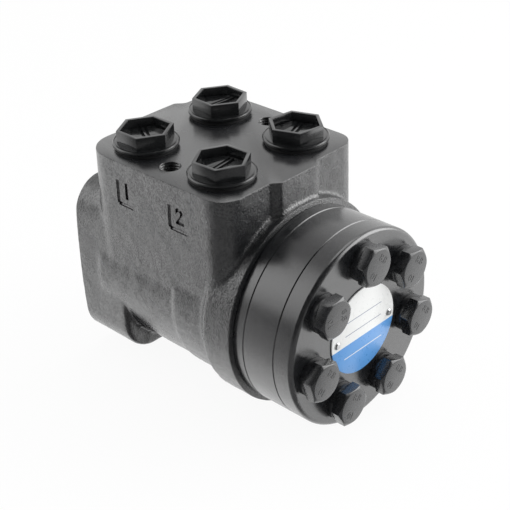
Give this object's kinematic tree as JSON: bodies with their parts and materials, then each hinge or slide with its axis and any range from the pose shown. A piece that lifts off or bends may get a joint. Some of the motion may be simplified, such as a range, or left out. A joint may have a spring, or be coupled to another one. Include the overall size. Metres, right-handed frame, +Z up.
{
  "type": "orbital steering unit",
  "caption": "Hydrostatic steering control unit with a square column flange, an upright port block with plugged ports, and a round orbiting gear set behind a bolted end cover.",
  "frame": {"origin": "centre of the column flange's screw circle, on the column face and the shaft axis", "axes": "+X along the shaft axis from the column flange towards the end cover, +Z up out of the port face, +Y across the shaft"},
  "size_m": [0.1381, 0.092, 0.1141],
  "materials": {
    "cast_housing_paint": "semi-gloss black paint over sand-cast iron",
    "machined_black_paint": "satin black paint over turned steel",
    "black_screw_steel": "black oxide, lightly oiled",
    "black_washer": "black paint",
    "name_plate_foil": "printed, satin",
    "rivet_steel": "bright",
    "seal_rubber": "matt",
    "plug_seal_rubber": "matt",
    "plug_plastic": "moulded black, semi-gloss",
    "bearing_steel": "ground",
    "bright_steel": "ground and oiled",
    "spring_steel": "blued"
  },
  "bodies": {
    "housing_body": {"housing": "cast_housing_paint", "distributor_plate": "machined_black_paint", "gear_ring": "machined_black_paint", "end_cover": "machined_black_paint", "cover_screws": "black_screw_steel", "special_screw": "black_screw_steel", "cover_washers": "black_washer", "name_plate": "name_plate_foil", "name_plate_rivets": "rivet_steel", "port_plug_1": "plug_plastic", "port_plug_2": "plug_plastic", "port_plug_3": "plug_plastic", "port_plug_4": "plug_plastic", "plug_seal_1": "plug_seal_rubber", "plug_seal_2": "plug_seal_rubber", "plug_seal_3": "plug_seal_rubber", "plug_seal_4": "plug_seal_rubber", "housing_o_ring": "seal_rubber", "plate_o_ring": "seal_rubber", "cover_o_ring": "seal_rubber", "dust_seal": "seal_rubber", "shaft_seal": "seal_rubber", "bearing_outer_race": "bearing_steel", "check_seat": "bright_steel", "stop_pin": "bright_steel"},
    "sleeve_body": {"sleeve": "bright_steel", "cross_pin": "bright_steel", "centring_springs": "spring_steel", "retaining_ring": "bright_steel", "bearing_inner_race": "bearing_steel"},
    "spool_body": {"spool": "bright_steel"},
    "cage_body": {"bearing_cage": "bearing_steel", "bearing_needles": "bearing_steel"},
    "orbit_body": {"rotor_spacer": "bright_steel"},
    "rotor_body": {"rotor": "bright_steel"},
    "link_body": {"drive_link": "bright_steel"},
    "ball_body": {"check_ball": "bearing_steel"}
  },
  "joints": [
    {"name": "sleeve_spin", "type": "hinge", "parent": "housing_body", "child": "sleeve_body", "pos_m": [0.05, 0, 0], "axis": [1, 0, 0], "continuous": true},
    {"name": "spool_turn", "type": "hinge", "parent": "sleeve_body", "child": "spool_body", "pos_m": [0.05, 0, 0], "axis": [1, 0, 0], "range_deg": [-8, 8], "stiffness_Nm_per_rad": 8},
    {"name": "cage_spin", "type": "hinge", "parent": "housing_body", "child": "cage_body", "pos_m": [0.017, 0, 0], "axis": [1, 0, 0], "continuous": true},
    {"name": "rotor_orbit", "type": "hinge", "parent": "housing_body", "child": "orbit_body", "pos_m": [0.11, 0, 0], "axis": [1, 0, 0], "continuous": true},
    {"name": "rotor_spin", "type": "hinge", "parent": "orbit_body", "child": "rotor_body", "pos_m": [0.11, 0, 0.003], "axis": [1, 0, 0], "continuous": true},
    {"name": "link_spin", "type": "hinge", "parent": "orbit_body", "child": "link_body", "pos_m": [0.038, 0, 0], "axis": [0.9991, 0, 0.0417], "continuous": true},
    {"name": "ball_lift", "type": "slide", "parent": "housing_body", "child": "ball_body", "axis": [1, 0, 0], "range_m": [0, 0.002]}
  ],
  "couplings": [
    {"joint": "cage_spin", "follows": "sleeve_spin", "ratio": 0.5},
    {"joint": "rotor_orbit", "follows": "sleeve_spin", "ratio": -6},
    {"joint": "rotor_spin", "follows": "sleeve_spin", "ratio": 7},
    {"joint": "link_spin", "follows": "sleeve_spin", "ratio": 7}
  ]
}
